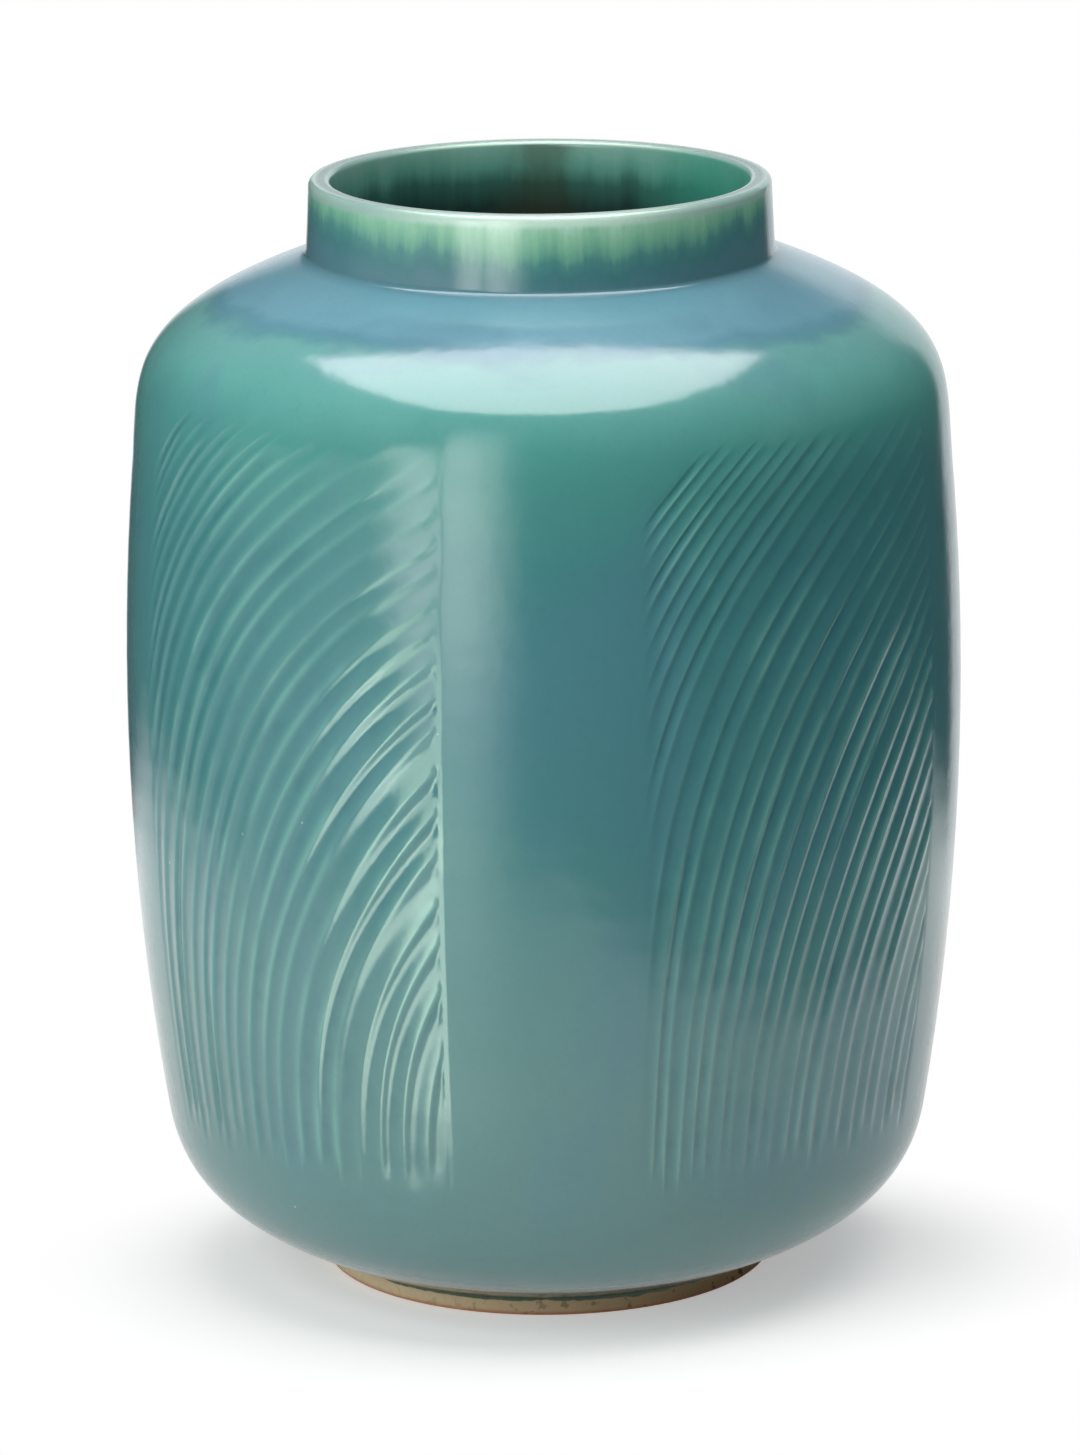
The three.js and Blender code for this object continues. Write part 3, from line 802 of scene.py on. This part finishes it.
def light_world(world):
    """White to the camera. The gloss shows the room, under a ceiling that is higher behind."""
    world.use_nodes = True
    w = Nodes(world.node_tree, "ShaderNodeOutputWorld")
    path = w.add("ShaderNodeLightPath").outputs
    x, y, z = w.split(w.add("ShaderNodeTexCoord").outputs["Generated"])
    behind = w.math("MULTIPLY", y, 2.0, clamp=True)
    ceiling = w.step(w.scaled(behind, -0.23, z), 0.02, 0.2)
    room = w.glow("Background", w.room(x, w.times(y, -1.0)), 1.0)
    gloss = w.blend(ceiling, room, w.glow("Background", (0.8, 0.9, 1.0, 1), 0.2))
    fill = w.glow("Background", (0.94, 0.97, 1.0, 1), 0.16)
    lit = w.blend(path["Is Glossy Ray"], fill, gloss)
    w.finish(w.blend(path["Is Camera Ray"], lit, w.glow("Background", WHITE, 1.0)))


bpy.context.scene.world = bpy.data.worlds.new("studio")
light_world(bpy.context.scene.world)


def round_front(n, x, y, z):
    """Round at the front, and reaching further back at its sides."""
    taper = n.scaled(n.most(n.minus(y, 0.1), 0.0), 0.37, 1.0)
    side = n.size(n.times(n.plus(x, 0.02), taper, 1 / 0.56))
    ahead = n.times(n.most(n.minus(-0.16, y), 0.0), 1 / 0.60)
    edge = n.plus(n.math("POWER", side, 2.2), n.math("POWER", ahead, 2.2))
    behind = n.minus(y, n.times(n.math("POWER", side, 2.5), 0.13))
    return n.times(n.step(edge, 1.0, 0.96), n.step(behind, 0.32, 0.29))


def upright(across, head, foot=(0.0, 1.0), share=1.0):
    """A strip that fades at its sides and head, and down to a share of its light at its foot.

    `across` has the four limits of its width, `head` and `foot` two heights each.
    """

    def form(n, x, y, z):
        light = n.times(n.window(x, *across), n.step(z, head[1], head[0]))
        return n.times(light, n.scaled(n.step(z, *foot), 1 - share, share))

    return form


def lamp(name, at, aim, size, diffuse=0.0, gloss=0.0, colour=(1, 1, 1), form=None):
    """A softbox, with its radiance for plain shading and for the gloss, and a form in the gloss."""
    for kind, radiance in (("diffuse", diffuse), ("gloss", gloss)):
        if not radiance:
            continue
        data = bpy.data.lights.new(f"{name}_{kind}", "AREA")
        data.shape = "RECTANGLE"
        data.size, data.size_y = size
        data.energy = radiance * math.pi * size[0] * size[1]
        data.color = colour
        if form and kind == "gloss":
            data.use_nodes = True
            n = Nodes(data.node_tree, "ShaderNodeOutputLight")
            place = n.split(n.add("ShaderNodeNewGeometry").outputs["Position"])
            n.finish(n.glow("Emission", WHITE, form(n, *place)))
        holder = bpy.data.objects.new(f"{name}_{kind}", data)
        forward = 0.01 if kind == "gloss" else 0.0
        holder.location = Vector(at) + forward * Vector(aim).normalized()
        holder.rotation_euler = Vector(aim).to_track_quat("-Z", "Y").to_euler()
        holder.visible_camera = False
        holder.visible_diffuse = kind == "diffuse"
        holder.visible_glossy = kind == "gloss"
        bpy.context.scene.collection.objects.link(holder)


# Lamps, in metres: each one's place, the way it points, and its width and height
LEFT_AIM = (0.52, 0.85, 0)
LEFT_SIZE = (0.24, 0.70)
lamp("softbox_above", (0.16, -0.222, 1.27), (-0.12, -0.345, -0.939), (1.30, 1.135), 2.45)
lamp(
    "softbox_gloss", (-0.005, -0.025, 1.198), (0, -0.345, -0.939), (1.34, 1.555),
    gloss=6.4, colour=(0.99, 0.92, 0.95), form=round_front,
)
lamp("key_left", (-0.80, -0.78, 0.62), (0.72, 0.70, -0.30), (0.9, 1.2), 2.6)
lamp(
    "strip_left", (-0.298, -0.3878, 0.35), LEFT_AIM, LEFT_SIZE, gloss=5.8,
    colour=(0.86, 1, 0.80), form=upright((-0.318, -0.294, -0.222, -0.206), (0.09, 0.15)),
)
lamp(
    "strip_middle", (-0.290, -0.3750, 0.35), LEFT_AIM, LEFT_SIZE, gloss=4.5,
    colour=(1.0, 0.97, 0.95),
    form=upright((-0.33, -0.25, -0.216, -0.200), (0.26, 0.42), (0.10, 0.17), 0.0),
)
lamp(
    "strip_right", (-0.115, -0.471, 0.35), (0.293, 0.956, 0), (0.20, 0.70), gloss=4.1,
    colour=(1.0, 0.95, 0.94),
    form=upright((-0.208, -0.198, -0.16, -0.022), (0.28, 0.69), (0.06, 0.18), 0.22),
)

# Camera
camera_data = bpy.data.cameras.new("camera")
camera_data.sensor_width = 36
camera_data.lens = 181.3
camera = bpy.data.objects.new("camera", camera_data)
camera.location = (0.0024, -1.7415, 0.571)
camera.rotation_euler = Euler((math.radians(75.888), math.radians(0.45), 0))
bpy.context.scene.collection.objects.link(camera)
bpy.context.scene.camera = camera
bpy.context.scene.view_settings.view_transform = "Standard"
